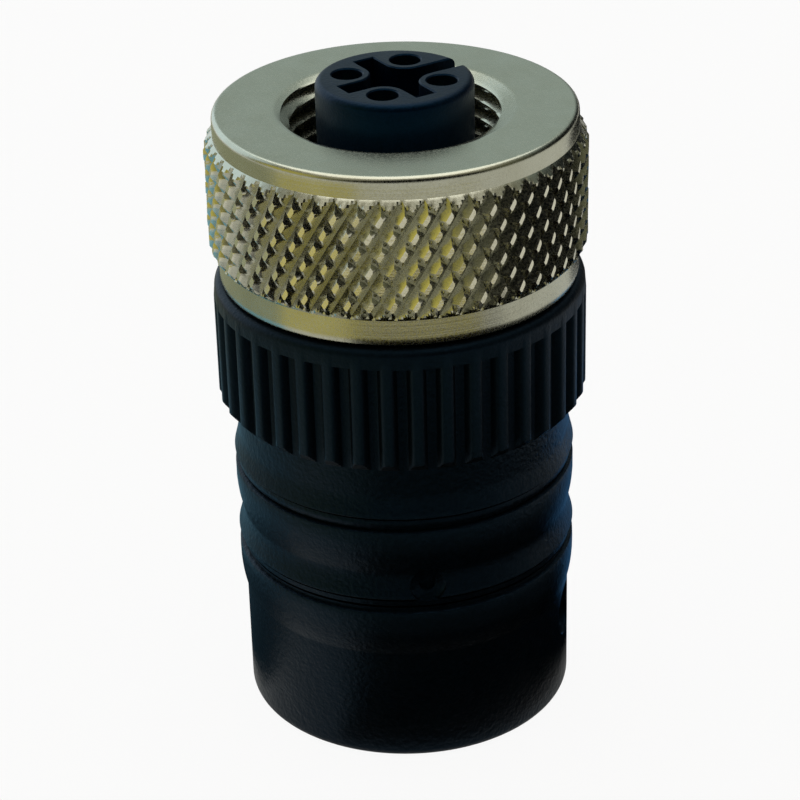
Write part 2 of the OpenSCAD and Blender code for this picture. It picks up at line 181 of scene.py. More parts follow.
mat("brown_mat_front", -30, 62, 10, 60, "#0e0b09")
mat("yellow_mat_front", -24, 48, 60, 71, "#e3d25c")
mat("yellow_mat_left", -76, -24, 50, 110, "#e6d885")
mat("slate_mat_left", -178, -76, 10, 23, "#3c5666")
mat("blue_mat_left", -178, -76, 23, 50, "#92cdee")
mat("olive_mat_left", -178, -76, 50, 150, "#b4b59a")
mat("black_mat_right", 62, 112, 10, 50, "#05090d")
mat("blue_mat_right", 112, 178, 10, 50, "#64a8ec")
mat("black_mat_behind", 130, 178, 56, 260, "#05090d")

# %% Room
TENT_STRENGTH = 0.65
world = bpy.data.worlds.new("light_tent")
bpy.context.scene.world = world
world.use_nodes = True
tree = world.node_tree
tree.nodes.clear()
ray = add_node(tree, "ShaderNodeLightPath")
way = add_node(tree, "ShaderNodeTexCoord")
plain_tent = add_node(tree, "ShaderNodeRGB")
plain_tent.outputs[0].default_value = linear("#74765f")
tent = plain_tent.outputs[0]


def hang(under, azimuth_deg, height_deg, outer_deg, inner_deg, colour):
    """A soft-edged cloth in the tent: where it hangs, how far it fades out, and how far it is full."""
    turned = Matrix.Rotation(VIEW_AZIMUTH + math.radians(azimuth_deg), 3, "Z")
    toward = turned @ Vector((0, -math.cos(math.radians(height_deg)), math.sin(math.radians(height_deg))))
    facing = add_node(tree, "ShaderNodeVectorMath", {"operation": "DOT_PRODUCT"},
                      {0: way.outputs["Generated"], 1: toward})
    share = add_node(tree, "ShaderNodeMapRange", {"interpolation_type": "SMOOTHSTEP"}, {
        "Value": facing.outputs["Value"], "From Min": math.cos(math.radians(outer_deg)),
        "From Max": math.cos(math.radians(inner_deg))})
    mixed = add_node(tree, "ShaderNodeMix", {"data_type": "RGBA"},
                     {0: share.outputs[0], 6: under, 7: linear(colour)})
    return mixed.outputs[2]


tent = hang(tent, 180, 0, 96, 60, "#c9dcdb")  # pale, behind
tent = hang(tent, 0, 70, 60, 30, "#d2cfbe")  # pale, above
tent = hang(tent, -70, 14, 28, 12, "#eadf74")  # yellow, at the left
tent = hang(tent, 12, 8, 50, 38, "#06080a")  # dark, on the lens side
tent = hang(tent, 125, 0, 53, 26, "#0b1014")  # dark, at the right
sky = add_node(tree, "ShaderNodeBackground", inputs={"Color": tent, "Strength": TENT_STRENGTH})
white = add_node(tree, "ShaderNodeBackground", inputs={"Color": (1, 1, 1, 1), "Strength": 1})
clear = add_node(tree, "ShaderNodeMath", {"operation": "MAXIMUM"},
                 {0: ray.outputs["Is Camera Ray"], 1: ray.outputs["Is Transmission Ray"]})
mix = add_node(tree, "ShaderNodeMixShader",
               inputs={0: clear.outputs[0], 1: sky.outputs[0], 2: white.outputs[0]})
add_node(tree, "ShaderNodeOutputWorld", inputs={"Surface": mix.outputs[0]})

# %% Lamps
def softbox(name, azimuth_deg, height_mm, distance_mm, size_mm, watts, colour):
    """A square area lamp aimed at the nut; the azimuth is counted from the lens side."""
    lamp = bpy.data.lights.new(name, "AREA")
    lamp.size = size_mm * MM
    lamp.energy = watts
    lamp.color = linear(colour)[:3]
    box = bpy.data.objects.new(name, lamp)
    around = Matrix.Rotation(VIEW_AZIMUTH + math.radians(azimuth_deg), 3, "Z")
    box.location = around @ Vector((0, -distance_mm * MM, 0)) + Vector((0, 0, height_mm * MM))
    aim_at = Vector((0, 0, 25 * MM))
    box.rotation_euler = (aim_at - box.location).to_track_quat("-Z", "Y").to_euler()
    bpy.context.scene.collection.objects.link(box)


softbox("top_softbox", 180, 450, 90, 500, 1.0, "#ffffff")
softbox("left_softbox", -130, 150, 420, 500, 0.6, "#d8eaff")

# %% [markdown]
# ## Turned pieces
# Nearly every piece of this connector is round, so it could be made with the Screw modifier or with
# a spin in bmesh. Here the outline is turned by hand instead, because then each column of points can
# have its own radius, and ribs, knurl and thread become part of the same clean grid of faces.

# %% Mesh helpers
def make_piece(name, points_mm, faces, body, nodes, sharp_deg=32):
    """A mesh object from points in mm that rides on a body and stands for the named solids."""
    mesh = bpy.data.meshes.new(name)
    mesh.from_pydata([(x * MM, y * MM, z * MM) for x, y, z in points_mm], [], faces)
    edit = bmesh.new()
    edit.from_mesh(mesh)
    bmesh.ops.recalc_face_normals(edit, faces=edit.faces)
    edit.to_mesh(mesh)
    edit.free()
    mesh.shade_smooth()
    mesh.set_sharp_from_angle(angle=math.radians(sharp_deg))
    thing = bpy.data.objects.new(name, mesh)
    bpy.context.scene.collection.objects.link(thing)
    if body:
        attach(thing, body)
        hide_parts(*nodes)
    print(name, "has", len(mesh.polygons), "faces")
    return thing


def turn(outline, columns, shape=None):
    """Points and faces of a closed outline [(r, z)] turned about Z; shape(r, z, column) may move a point."""
    points, faces, rings = [], [], []
    for r, z in outline:
        if r == 0:
            rings.append([len(points)] * columns)
            points.append((0, 0, z))
            continue
        rings.append(range(len(points), len(points) + columns))
        for c in range(columns):
            rr, zz = shape(r, z, c) if shape else (r, z)
            a = 2 * math.pi * c / columns
            points.append((rr * math.cos(a), rr * math.sin(a), zz))
    for here, there in zip(rings, rings[1:] + rings[:1]):
        for c in range(columns):
            d = (c + 1) % columns
            corners = [here[c], here[d], there[d], there[c]]
            corners = [p for i, p in enumerate(corners) if p != corners[i - 1]]
            if len(corners) > 2:
                faces.append(corners)
    return points, faces


def arc(centre, radius, start_deg, end_deg, steps):
    """Points of an arc in the (r, z) plane."""
    angles = [math.radians(start_deg + (end_deg - start_deg) * i / steps) for i in range(steps + 1)]
    return [(centre[0] + radius * math.cos(a), centre[1] + radius * math.sin(a)) for a in angles]


def swell(z0, z1, r0, r1, rise, steps):
    """A shallow curve from (r0, z0) to (r1, z1) that swells out by rise half-way."""
    spots = [i / steps for i in range(steps + 1)]
    return [(r0 + (r1 - r0) * t + rise * math.sin(math.pi * t), z0 + (z1 - z0) * t) for t in spots]


def steps_between(start, end, step):
    """Even steps from start to end, both included, about one step apart."""
    count = max(1, round(abs(end - start) / step))
    return [start + (end - start) * i / count for i in range(count + 1)]

# %% [markdown]
# ## The coupling nut
# The nut is turned from brass bar. A pair of knurling wheels, leaning left and right, presses its
# crossed grooves into the grip, which leaves rows of small pyramids. One wheel bites deeper, so they
# join into ridges, each with a flat land and a steeper flank at its right. They could be a displacement
# texture, but real lands and flanks catch the light as facets do, so they're modelled: the grid has
# six cells to each half pyramid, and the creases follow the grid's diagonals.

# %% Sizes of the nut, in mm
nut_z = nut_low.z / MM
nut_top = nut_high.z / MM
BAND_R = 9.5
KNURL_FROM = nut_z + 1.45
KNURL_HEIGHT = 6.45
KNURL_ROWS = 7
KNURL_COLUMNS = 108
CELLS = 6
ROOT_R = 9.53
POINT_R = 9.985
LAND_FROM = -1 / CELLS
LAND_TO = 2 / CELLS
LAND_HALF_LENGTH = 3 / CELLS
NOTCH_DEPTH = 0.6
LAND_TILT = 0.12
KNURL_END_STEP = 0.06
MOUTH_R = 6.35
THREAD_TIP_R = 5.48
THREAD_ROOT_R = 6.08
THREAD_PITCH = 1.0
STEP_Z = nut_z + 3.0
COLLAR_BORE_R = 7.0
CLIP_GROOVE_R = 7.4
CLIP_LOW_Z = nut_z + 0.8
CLIP_HIGH_Z = nut_z + 1.63
print("nut from", round(nut_z, 2), "to", round(nut_top, 2), "mm")

# %% Knurl and thread as radii
nut_columns = KNURL_COLUMNS * CELLS


def worn(column, row):
    """A fixed, uneven share from 0 to 1 for each pyramid, as the wheels never bite quite evenly."""
    mixed = math.sin(column * 12.9898 + row * 78.233) * 43758.5453
    return mixed - math.floor(mixed)


def knurl_radius(column, z):
    """Crossed grooves: the wheel that leans right bites to the root, the other one NOTCH_DEPTH as deep."""
    u = column / CELLS
    v = (z - KNURL_FROM) / KNURL_HEIGHT * KNURL_ROWS
    p, q = u + v, u - v
    centre_p, centre_q = 2 * math.floor(p / 2) + 1, 2 * math.floor(q / 2) + 1
    across, along = q - centre_q, abs(p - centre_p)
    deep = min(1, (1 + across) / (1 + LAND_FROM), (1 - across) / (1 - LAND_TO))
    notch = 1 - NOTCH_DEPTH * max(0, along - LAND_HALF_LENGTH) / (1 - LAND_HALF_LENGTH)
    mark = ((centre_p + centre_q) / 2 % KNURL_COLUMNS, (centre_p - centre_q) / 2)
    tilt = LAND_TILT * ((worn(*mark) - 0.5) * (q - centre_q)
                        + (worn(mark[1], mark[0]) - 0.5) * (p - centre_p))
    height = min(deep, notch) * (0.94 + 0.06 * worn(*mark) + tilt)
    edge = min(z - KNURL_FROM, KNURL_FROM + KNURL_HEIGHT - z)
    return min(ROOT_R + (POINT_R - ROOT_R) * height, BAND_R + KNURL_END_STEP + edge)


def thread_radius(column, columns, z):
    """The helical groove of the thread, with a flat tip and a narrow root, opened by the mouth's chamfer."""
    turn_share = (z / THREAD_PITCH - column / columns) % 1
    away = abs(turn_share - 0.5) * 2
    groove = min(1, max(0, (away - 0.2) / 0.65))
    chamfer = MOUTH_R - 3 * (nut_top - z)
    return max(THREAD_ROOT_R + (THREAD_TIP_R - THREAD_ROOT_R) * groove, chamfer)


print("pyramid width, mm:", round(4 * math.pi * BAND_R / KNURL_COLUMNS, 2))

# %% Build the nut
outer_rows = ([(BAND_R - 0.25, nut_z), (BAND_R - 0.15, nut_z),
               (BAND_R - 0.04, nut_z + 0.04), (BAND_R, nut_z + 0.15)]
              + [(BAND_R, z) for z in steps_between(nut_z + 0.4, KNURL_FROM - 0.05, 0.3)]
              + [(0, z) for z in steps_between(KNURL_FROM, KNURL_FROM + KNURL_HEIGHT,
                                               KNURL_HEIGHT / KNURL_ROWS / CELLS)]
              + [(BAND_R, z) for z in steps_between(KNURL_FROM + KNURL_HEIGHT + 0.05, nut_top - 0.35, 0.25)]
              + arc((BAND_R - 0.3, nut_top - 0.3), 0.3, 15, 90, 5) + [(BAND_R - 0.38, nut_top)])
bore_columns = nut_columns // 3
bore_rows = ([(r, nut_top) for r in (8.9, 8.3, 7.7, 7.1, 6.75, MOUTH_R + 0.08)]
             + [(0, z) for z in steps_between(nut_top, STEP_Z, 0.05)]
             + [(COLLAR_BORE_R, STEP_Z), (COLLAR_BORE_R, CLIP_HIGH_Z), (CLIP_GROOVE_R, CLIP_HIGH_Z),
                (CLIP_GROOVE_R, CLIP_LOW_Z), (COLLAR_BORE_R, CLIP_LOW_Z), (COLLAR_BORE_R, nut_z + 0.15),
                (7.15, nut_z)])
points, faces = [], []


def add_ring(columns, radius_of, z):
    start = len(points)
    for c in range(columns):
        a = 2 * math.pi * c / columns
        r = radius_of(c)
        points.append((r * math.cos(a), r * math.sin(a), z))
    return start


outer_rings = [add_ring(nut_columns, (lambda c, z=z: knurl_radius(c, z)) if r == 0 else (lambda c, r=r: r), z)
               for r, z in outer_rows]
bore_rings = [add_ring(bore_columns,
                       (lambda c, z=z: thread_radius(c, bore_columns, z)) if r == 0 else (lambda c, r=r: r), z)
              for r, z in bore_rows]
knurl_first = next(i for i, row in enumerate(outer_rows) if row[0] == 0)
deep_creases = (-CELLS, round(LAND_FROM * CELLS), round(LAND_TO * CELLS))
notch_creases = (CELLS, round(LAND_HALF_LENGTH * CELLS))
for k, (low, high) in enumerate(zip(outer_rings, outer_rings[1:])):
    j = k - knurl_first
    in_knurl = 0 <= j < KNURL_ROWS * CELLS
    for c in range(nut_columns):
        d = (c + 1) % nut_columns
        if in_knurl and (c - j) % (2 * CELLS) - CELLS in deep_creases:
            faces += [[low + c, low + d, high + d], [low + c, high + d, high + c]]
        elif in_knurl and abs((c + j + 1) % (2 * CELLS) - CELLS) in notch_creases:
            faces += [[low + c, low + d, high + c], [low + d, high + d, high + c]]
        else:
            faces.append([low + c, low + d, high + d, high + c])
for low, high in zip(bore_rings, bore_rings[1:]):
    for c in range(bore_columns):
        d = (c + 1) % bore_columns
        faces.append([low + c, low + d, high + d, high + c])
for outer, bore in ((outer_rings[-1], bore_rings[0]), (outer_rings[0], bore_rings[-1])):
    for c in range(bore_columns):
        d = (c + 1) % bore_columns
        faces.append([bore + c, outer + 3 * c, outer + 3 * c + 1, outer + 3 * c + 2,
                      outer + (3 * c + 3) % nut_columns, bore + d])
nut = make_piece("knurled_nut", points, faces, "nut", ["coupling_nut"], 22)
for face in nut.data.polygons:
    face.use_smooth = len(face.vertices) < 6

# %% [markdown]
# ## The grip ring
# The black ring under the nut is injection moulded. Forty ribs run down it, each a low bar with
# rounded shoulders, and they start under a plain rounded lip. The mould drafts the lower ends off at a
# slant. The ring is turned, and the ribs are part of the radius of each column.

# %% Build the grip ring
grip_z = grip_low.z / MM
RIB_COUNT = 40
RIB_CELLS = 24
GRIP_R = 9.9
RIB_ROOT_R = 9.4
LIP_Z = grip_z + 6.1
LIP_TOP = LIP_Z + 1.0
rib_columns = RIB_COUNT * RIB_CELLS


def rib_radius(column):
    """The rib's outline across one pitch: root, a steep side, a rounded shoulder and a nearly flat top."""
    share = abs((column / RIB_CELLS + 0.5) % 1 - 0.5)
    steps = ((0.0, GRIP_R), (0.10, GRIP_R - 0.005), (0.17, GRIP_R - 0.04), (0.225, GRIP_R - 0.12),
             (0.27, GRIP_R - 0.26), (0.31, GRIP_R - 0.42), (0.345, RIB_ROOT_R + 0.02), (0.5, RIB_ROOT_R))
    for (s0, r0), (s1, r1) in zip(steps, steps[1:]):
        if share <= s1:
            return r0 + (r1 - r0) * (share - s0) / (s1 - s0)
    return RIB_ROOT_R


def rib_shape(r, z, column):
    if r <= RIB_ROOT_R or z > LIP_Z + 0.001:
        return r, z
    slant = RIB_ROOT_R + (z - grip_z + 0.02) * 0.9
    top_blend = GRIP_R - 0.05 if z > LIP_Z - 0.12 else RIB_ROOT_R
    return max(RIB_ROOT_R, min(max(rib_radius(column), top_blend), slant)), z


ring_outline = ([(8.98, grip_z), (RIB_ROOT_R - 0.05, grip_z)]
                + [(GRIP_R, z) for z in steps_between(grip_z + 0.02, grip_z + 0.7, 0.085)]
                + [(GRIP_R, z) for z in steps_between(grip_z + 1.2, LIP_Z - 0.3, 0.8)]
                + [(GRIP_R, LIP_Z - 0.13), (GRIP_R, LIP_Z - 0.1), (GRIP_R, LIP_Z)]
                + arc((GRIP_R - 0.5, LIP_TOP - 0.5), 0.45, 0, 90, 8)
                + [(6.8, LIP_TOP - 0.05), (6.8, LIP_Z + 1.85), (6.4, LIP_Z + 1.85), (6.4, LIP_Z + 3.05),
                   (6.8, LIP_Z + 3.05), (6.8, LIP_Z + 3.2), (6.6, LIP_Z + 3.4),
                   (4.35, LIP_Z + 3.4), (4.35, LIP_Z), (8.2, LIP_Z), (8.2, grip_z + 1.2),
                   (8.98, grip_z + 0.8)])
points, faces = turn(ring_outline, rib_columns, rib_shape)
grip = make_piece("ribbed_ring", points, faces, "front", ["grip_ring"], 28)

# %% [markdown]
# ## The housing and the gland cap
# Both are moulded in the same black plastic and meet end to end. The housing has two sunk bands, one
# at its foot and one higher up. Each ends in a sharp crest, and above it the wall flares in to a waist.
# The cap swells to a crest at its top and has a rounded foot. Their outlines are turned, then a Boolean
# cuts the small marks: the sheared gate mark on the housing and the cap's hole for a hook spanner.

# %% Build the housing
body_z = body_low.z / MM + 6.07
SHOULDER_Z = grip_z - 0.1
NECK_R = 9.0
WAIST_R = 8.97
CREST_R = 9.25
FLOOR_R = 9.1
UPPER_CREST_Z = body_z + 5.4
UPPER_LIP_Z = body_z + 4.6
LOWER_CREST_Z = body_z + 0.5
NECK_TOP = SHOULDER_Z + 5.5
print("housing body starts at", round(body_z, 2), "mm")


def flare(waist_z, crest_z, waist_r, crest_r, steps):
    """The hollow curve from a waist out to a sharp crest."""
    return [(waist_r + (crest_r - waist_r) * (1 - math.cos(math.pi / 2 * i / steps)) ** 0.8,
             waist_z + (crest_z - waist_z) * i / steps) for i in range(steps + 1)]


def recess(lip_z, crest_z):
    """The sunk band under a crest: a line at its foot, a slightly domed floor, a line at its top."""
    return ([(CREST_R - 0.01, lip_z - 0.12), (CREST_R - 0.04, lip_z - 0.04), (CREST_R - 0.12, lip_z),
             (FLOOR_R - 0.16, lip_z + 0.03), (FLOOR_R - 0.16, lip_z + 0.1)]
            + swell(lip_z + 0.16, crest_z - 0.16, FLOOR_R - 0.04, FLOOR_R - 0.04, 0.05, 6)
            + [(FLOOR_R - 0.16, crest_z - 0.1), (FLOOR_R - 0.16, crest_z - 0.03), (CREST_R - 0.04, crest_z)])


housing_outline = ([(5.6, body_z - 6.07), (7.1, body_z - 6.07), (7.4, body_z - 5.77), (7.4, body_z),
                    (FLOOR_R - 0.1, body_z), (FLOOR_R, body_z + 0.08), (FLOOR_R, LOWER_CREST_Z - 0.16),
                    (FLOOR_R - 0.16, LOWER_CREST_Z - 0.1), (FLOOR_R - 0.16, LOWER_CREST_Z - 0.03),
                    (CREST_R - 0.04, LOWER_CREST_Z), (CREST_R, LOWER_CREST_Z + 0.05)]
                   + flare(body_z + 1.85, LOWER_CREST_Z + 0.06, WAIST_R, CREST_R, 14)[::-1]
                   + swell(body_z + 1.95, UPPER_LIP_Z - 1.0, WAIST_R, CREST_R - 0.01, 0.05, 16)
                   + recess(UPPER_LIP_Z, UPPER_CREST_Z)
                   + flare(UPPER_CREST_Z + 1.3, UPPER_CREST_Z + 0.05, NECK_R, CREST_R, 14)[::-1]
                   + [(NECK_R - 0.02, SHOULDER_Z - 1.0), (NECK_R - 0.05, SHOULDER_Z - 0.1),
                      (NECK_R - 0.15, SHOULDER_Z), (8.1, SHOULDER_Z),
                      (8.1, NECK_TOP - 0.3), (7.8, NECK_TOP), (7.1, NECK_TOP), (7.1, body_z + 4.23),
                      (3.5, body_z + 3.43), (3.5, body_z + 3.33), (5.6, body_z + 3.33)])
points, faces = turn(housing_outline, 288)
housing = make_piece("moulded_housing", points, faces, "body", ["housing"])

# %% Build the gland cap
cap_top = cap_high.z / MM
CAP_R = 8.97
CAP_LIP_Z = cap_top - 0.22
BEAD_FOOT = cap_top - 3.0
FOOT_ROUND = 0.5
cap_outline = ([(3.7, 0)] + arc((CAP_R - FOOT_ROUND, FOOT_ROUND), FOOT_ROUND, -90, 0, 10)
               + [(CAP_R, z) for z in steps_between(0.9, BEAD_FOOT, 0.8)]
               + swell(BEAD_FOOT + 0.05, CAP_LIP_Z - 1.1, CAP_R, CREST_R - 0.01, 0.05, 16)
               + [(CREST_R, CAP_LIP_Z - 0.5), (CREST_R - 0.01, CAP_LIP_Z - 0.12),
                  (CREST_R - 0.04, CAP_LIP_Z - 0.04), (CREST_R - 0.12, CAP_LIP_Z),
                  (FLOOR_R - 0.1, CAP_LIP_Z + 0.03), (FLOOR_R - 0.1, cap_top),
                  (7.8, cap_top), (7.5, cap_top - 0.3), (7.5, 2.2), (3.3, 2.2), (3.3, 0.4)])
points, faces = turn(cap_outline, 288)
cap = make_piece("gland_cap_shell", points, faces, "cap", ["gland_cap"])

# %% [markdown]
# ## Cutting the marks
# A Boolean modifier subtracts a small turned tool from a piece, as a drill would. The tool lies
# along the radius at the right height and angle, and it's deleted once the cut is applied.

# %% Gate mark and spanner hole
def cut(target, tool_points, tool_faces):
    tool = make_piece(target.name + "_tool", tool_points, tool_faces, None, [])
    boolean = target.modifiers.new("cut", "BOOLEAN")
    boolean.operation = "DIFFERENCE"
    boolean.solver = "EXACT"
    boolean.object = tool
    shape = bpy.data.meshes.new_from_object(target.evaluated_get(bpy.context.evaluated_depsgraph_get()))
    target.modifiers.clear()
    target.data = shape
    shape.shade_smooth()
    shape.set_sharp_from_angle(angle=math.radians(32))
    bpy.data.objects.remove(tool)


def radial_tool(outline, angle_deg, z, columns=48):
    """An outline of (radius, distance from the axis of the connector), turned about a radius."""
    tool_points, tool_faces = turn(outline, columns)
    a = math.radians(angle_deg)
    laid = [(out * math.cos(a) - across * math.sin(a), out * math.sin(a) + across * math.cos(a), z + up)
            for across, up, out in tool_points]
    return laid, tool_faces


GATE_ANGLE_DEG = -24.6
GATE_UP = 1.28
SPANNER_ANGLE_DEG = 45.9
SPANNER_Z = 5.0
gate_outline = [(0, 8.55), (0.38, 8.55), (0.46, 8.8), (0.52, 8.84), (0.8, 8.88), (0.94, 8.98), (0.98, 9.1),
                (0.98, 9.6), (0, 9.6)]
cut(housing, *radial_tool(gate_outline, GATE_ANGLE_DEG, body_z + GATE_UP))
spanner_outline = [(0, 7.9), (1.38, 7.9), (1.5, 8.02), (1.5, 8.88), (1.6, 9.02), (1.6, 9.6), (0, 9.6)]
cut(cap, *radial_tool(spanner_outline, SPANNER_ANGLE_DEG, SPANNER_Z, 64))
print("faces after the cuts:", len(housing.data.polygons), len(cap.data.polygons))

# %% [markdown]
# ## The socket insert
# The round plastic insert carries the four sockets. Its top has a sunk cross with round islands about
# the sockets, and one side has the slot that only lets the right plug in. It's turned, and three
# kinds of tool are cut out of it. Each tool flares at its top, so the cut leaves a small soft edge,
# which is more even than a Bevel modifier on faces that a Boolean has left.

# %% Build the insert
insert_top = insert_high.z / MM
insert_foot = insert_low.z / MM
INSERT_R = 4.1
PITCH_R = 2.5
SLOT_HALF = 0.575
SOCKET_R = 0.8
SOCKET_ANGLES = (45, 135, 225, 315)
SOCKET_FOOT_Z = 29.0
CONTACT_BORE_R = 1.05
CONTACT_BORE_TOP = 28.8
KEY_Z = 29.05
CROSS_DEPTH = 1.6
CROSS_REACH = 3.05
FLANGE_R = 7.7
FLANGE_HEIGHT = 0.65
BASE_R = 4.3
BASE_TOP_Z = 28.7
SOFT = 0.07
insert_outline = ([(0, insert_foot), (FLANGE_R, insert_foot), (FLANGE_R, insert_foot + FLANGE_HEIGHT),
                   (BASE_R, insert_foot + FLANGE_HEIGHT), (BASE_R, 28.6), (4.2, BASE_TOP_Z),
                   (INSERT_R, BASE_TOP_Z)]
                  + [(INSERT_R, z) for z in steps_between(29.5, insert_top - 0.8, 1.0)]
                  + arc((INSERT_R - 0.4, insert_top - 0.4), 0.4, 0, 90, 10) + [(0, insert_top)])
points, faces = turn(insert_outline, 192)
insert = make_piece("socket_face", points, faces, "front", ["socket_insert"])


def prism(loop, z0, z1, flare):
    """A closed loop of points with outward directions, as a solid that widens by flare at its top."""
    count = len(loop)
    heights = ((z0, 0), (z1 - flare, 0), (z1 + 0.3, flare + 0.3))
    solid = [(x + nx * out, y + ny * out, z) for z, out in heights for x, y, nx, ny in loop]
    sides = [[k * count + i, k * count + (i + 1) % count,
              (k + 1) * count + (i + 1) % count, (k + 1) * count + i]
             for k in (0, 1) for i in range(count)]
    return solid, sides + [list(range(count)), list(range(2 * count, 3 * count))]


def cross_loop():
    """The sunk cross: four arms, and between them the edges of the round islands about the sockets."""
    island_r = PITCH_R * math.sin(math.pi / 4) - SLOT_HALF
    centre = PITCH_R * math.cos(math.pi / 4)
    quarter = [(CROSS_REACH, SLOT_HALF, 0.7, 0.7)]
    for i in range(13):
        a = math.radians(270 - 90 * i / 12)
        quarter.append((centre + island_r * math.cos(a), centre + island_r * math.sin(a),
                        -math.cos(a), -math.sin(a)))
    quarter.append((SLOT_HALF, CROSS_REACH, 0.7, 0.7))
    loop = []
    for k in range(4):
        c, s = math.cos(k * math.pi / 2), math.sin(k * math.pi / 2)
        loop += [(x * c - y * s, x * s + y * c, nx * c - ny * s, nx * s + ny * c) for x, y, nx, ny in quarter]
    return loop


cut(insert, *prism(cross_loop(), insert_top - CROSS_DEPTH, insert_top, SOFT))
for angle in SOCKET_ANGLES:
    a = math.radians(angle)
    x0, y0 = PITCH_R * math.cos(a), PITCH_R * math.sin(a)
    rim = [math.radians(360 * i / 48) for i in range(48)]
    cut(insert, *prism([(x0 + SOCKET_R * math.cos(t), y0 + SOCKET_R * math.sin(t), math.cos(t), math.sin(t))
                        for t in rim], SOCKET_FOOT_Z, insert_top, SOFT))
    cut(insert, *prism([(x0 + CONTACT_BORE_R * math.cos(t), y0 + CONTACT_BORE_R * math.sin(t), 0, 0)
                        for t in rim], insert_foot - 1, CONTACT_BORE_TOP, 0.0))
key_loop = [(-SLOT_HALF, 2.6, -1, 0), (SLOT_HALF, 2.6, 1, 0), (SLOT_HALF, 5.0, 1, 0), (-SLOT_HALF, 5.0, -1, 0)]
cut(insert, *prism(key_loop, KEY_Z, insert_top, SOFT))
print("insert top at", round(insert_top, 2), "mm, faces:", len(insert.data.polygons))

# %% [markdown]
# ## Nickel-plated brass
# The nut is brass with a thin matt nickel plating: a metal, so metallic is 1 and its colour is the
# colour of its reflections, a warm grey. Turning leaves fine rings around its bands, drawn here as a
# bump that depends on height alone, so the flat top stays plain. Real rings are too fine to show, so
# they're drawn as coarse as they need to be, 0.12 mm apart. The plating is slightly uneven, and rubbed
# bright on the tips of the knurl. Those lie farthest from the axis, so the distance from it finds them.

# %% Nickel plating
def wear_and_highlight_share(tree, where, from_mm, to_mm, most=1.0):
    """Share of rubbing, and on the plastics of painted highlight, by distance to the axis: 0 up to from_mm,
    most beyond to_mm.
    """
    flat = add_node(tree, "ShaderNodeVectorMath", {"operation": "MULTIPLY"}, {0: where, 1: (1, 1, 0)})
    radius = add_node(tree, "ShaderNodeVectorMath", {"operation": "LENGTH"}, {0: flat.outputs[0]})
    share = add_node(tree, "ShaderNodeMapRange", inputs={
        "Value": radius.outputs["Value"], "From Min": from_mm * MM, "From Max": to_mm * MM,
        "To Max": most})
    return share.outputs[0]


RING_MM = 0.12
KNURL_RUBBED_FROM = 9.8
KNURL_RUBBED_TO = 9.97


def nickel_plating():
    material, tree = new_material("nickel_plated_brass")
    place = add_node(tree, "ShaderNodeTexCoord")
    where = place.outputs["Object"]
    cloud = add_node(tree, "ShaderNodeTexNoise", inputs={"Vector": where, "Scale": per_mm(1.6), "Detail": 4})
    grain = add_node(tree, "ShaderNodeTexNoise",
                     inputs={"Vector": where, "Scale": per_mm(RING_MM), "Detail": 3})
    plated = add_node(tree, "ShaderNodeMix", {"data_type": "RGBA"},
                      {0: cloud.outputs[0], 6: linear("#b4b29d"), 7: linear("#c6c6b6")})
    wear_and_highlight = wear_and_highlight_share(tree, where, KNURL_RUBBED_FROM, KNURL_RUBBED_TO)
    colour = add_node(tree, "ShaderNodeMix", {"data_type": "RGBA"},
                      {0: wear_and_highlight, 6: plated.outputs[2], 7: linear("#e3dfca")})
    rough = add_node(tree, "ShaderNodeMapRange", inputs={
        "Value": grain.outputs[0], "From Min": 0.3, "From Max": 0.7, "To Min": 0.19, "To Max": 0.31})
    split = add_node(tree, "ShaderNodeSeparateXYZ", inputs={"Vector": where})
    rings = add_node(tree, "ShaderNodeTexNoise", {"noise_dimensions": "1D"},
                     {"W": split.outputs["Z"], "Scale": per_mm(RING_MM), "Detail": 1})
    height = add_node(tree, "ShaderNodeMath", {"operation": "MULTIPLY_ADD"},
                      {0: grain.outputs[0], 1: 0.9, 2: rings.outputs[0]})
    bump = add_node(tree, "ShaderNodeBump", inputs={
        "Height": height.outputs[0], "Strength": 0.12, "Distance": 0.02 * MM})
    shader = add_node(tree, "ShaderNodeBsdfPrincipled", inputs={
        "Base Color": colour.outputs[2], "Metallic": 1, "Roughness": rough.outputs[0],
        "Normal": bump.outputs[0]})
    add_node(tree, "ShaderNodeOutputMaterial", inputs={"Surface": shader.outputs[0]})
    return material


nickel = nickel_plating()
nut.data.materials.append(nickel)
print("nickel on", nut.name)
